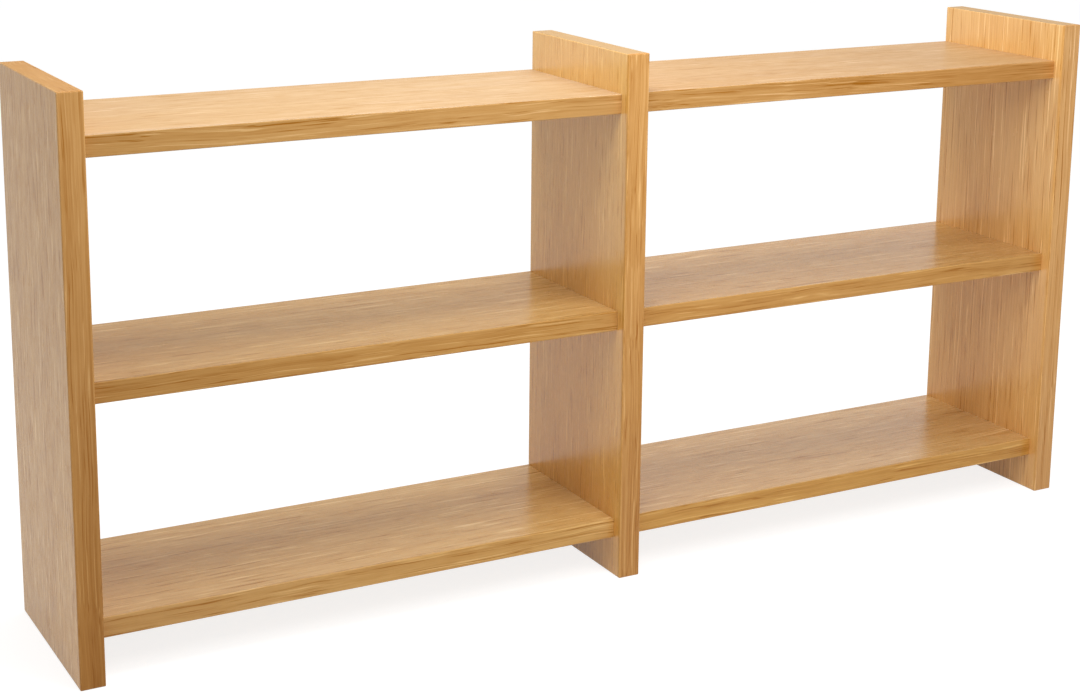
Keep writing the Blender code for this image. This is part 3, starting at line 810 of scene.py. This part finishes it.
# Fittings
cast_zinc = metal("cast_zinc", (0.42, 0.42, 0.41), (0.66, 0.66, 0.64), 0.40, pitted=0.1)
zinc_plate = metal("zinc_plated_sheet", (0.50, 0.51, 0.53), (0.74, 0.75, 0.77), 0.30, brushed="Z")
plated_steel = metal("plated_steel", (0.46, 0.44, 0.38), (0.70, 0.68, 0.60), 0.28)
dowel_wood = beech("dowel_wood")
for bay in BAYS:
    for level in LEVELS:
        for end, bolt_side in ENDS.items():
            node = f"{bay}_{level}_cam_{end}"
            finish_piece(cam(f"{node}_cast", node, bolt_side), cast_zinc, node, [node])
for name in UPRIGHTS:
    node = f"{name}_hanger"
    finish_piece(hanger(f"{node}_plate", node), zinc_plate, "carcase", [node])
    for row in ("upper", "lower"):
        node = f"{name}_hanger_screw_{row}"
        finish_piece(screw(f"{node}_turned", node), plated_steel, "carcase", [node])
    for level in LEVELS:
        for kind, material in (("bolt", plated_steel), ("dowel", dowel_wood)):
            for material_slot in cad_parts[f"{name}_{level}_{kind}"].material_slots:
                material_slot.material = material


# Stage, light and camera

def seen_directly(tree):
    """1 where the camera, a reflection or glass looks, 0 where light falls."""
    path = add_node(tree, "ShaderNodeLightPath").outputs
    seen = calc(tree, "MAXIMUM", path["Is Camera Ray"], path["Is Glossy Ray"])
    return calc(tree, "MAXIMUM", seen, path["Is Transmission Ray"])


def grey(value):
    return (value, value, value, 1.0)


def white_floor():
    """A white floor just under the uprights' feet, clear from below so that the undersides can be seen."""
    bm = bmesh.new()
    bmesh.ops.create_grid(bm, x_segments=1, y_segments=1, size=FLOOR_REACH,
                          matrix=Matrix.Translation((0.0, 0.0, cad_low.z - FLOOR_GAP)))
    floor = to_object(bm, "floor")
    white = bpy.data.materials.new("white_floor")
    white.use_nodes = True
    tree = white.node_tree
    tree.nodes.clear()
    matt = add_node(tree, "ShaderNodeBsdfDiffuse", {"Color": grey(FLOOR_MATT)})
    pale = add_node(tree, "ShaderNodeBsdfDiffuse", {"Color": grey(FLOOR_PALE)})
    glow = add_node(tree, "ShaderNodeEmission", {"Strength": FLOOR_GLOW})
    lit = add_node(tree, "ShaderNodeAddShader", {0: pale.outputs[0], 1: glow.outputs[0]})
    above = add_node(tree, "ShaderNodeMixShader",
                     {0: seen_directly(tree), 1: matt.outputs[0], 2: lit.outputs[0]})
    clear = add_node(tree, "ShaderNodeBsdfTransparent")
    below = add_node(tree, "ShaderNodeNewGeometry").outputs["Backfacing"]
    both = add_node(tree, "ShaderNodeMixShader", {0: below, 1: above.outputs[0], 2: clear.outputs[0]})
    add_node(tree, "ShaderNodeOutputMaterial", {"Surface": both.outputs[0]})
    floor.data.materials.append(white)


def studio():
    """White all round where it is seen, and a softer light from it on the boards."""
    world = bpy.data.worlds.new("studio")
    bpy.context.scene.world = world
    world.use_nodes = True
    tree = world.node_tree
    tree.nodes.clear()
    light = add_node(tree, "ShaderNodeBackground", {"Color": grey(1.0), "Strength": ROOM_LIGHT})
    shown = add_node(tree, "ShaderNodeBackground", {"Color": grey(1.0), "Strength": 1.0})
    both = add_node(tree, "ShaderNodeMixShader",
                    {0: seen_directly(tree), 1: light.outputs[0], 2: shown.outputs[0]})
    add_node(tree, "ShaderNodeOutputWorld", {"Surface": both.outputs[0]})


def softbox(name, place, size, power):
    lamp = bpy.data.lights.new(name, "AREA")
    lamp.shape = "RECTANGLE"
    lamp.size, lamp.size_y = size
    lamp.energy = power
    obj = bpy.data.objects.new(name, lamp)
    obj.location = place
    obj.rotation_euler = (Vector(LAMP_TARGET) - Vector(place)).to_track_quat("-Z", "Y").to_euler()
    obj.visible_camera = False
    bpy.context.scene.collection.objects.link(obj)


def photo_camera():
    camera = bpy.data.cameras.new("camera")
    camera.sensor_width = SENSOR
    camera.lens = LENS
    camera.shift_y = SHIFT
    viewer = bpy.data.objects.new("camera", camera)
    viewer.location = CAMERA_PLACE
    viewer.rotation_euler = [math.radians(a) for a in CAMERA_TURN]
    bpy.context.scene.collection.objects.link(viewer)
    bpy.context.scene.camera = viewer
    bpy.context.scene.view_settings.view_transform = "Standard"


white_floor()
studio()
for name, (place, size, power) in LAMPS.items():
    softbox(name, place, size, power)
photo_camera()
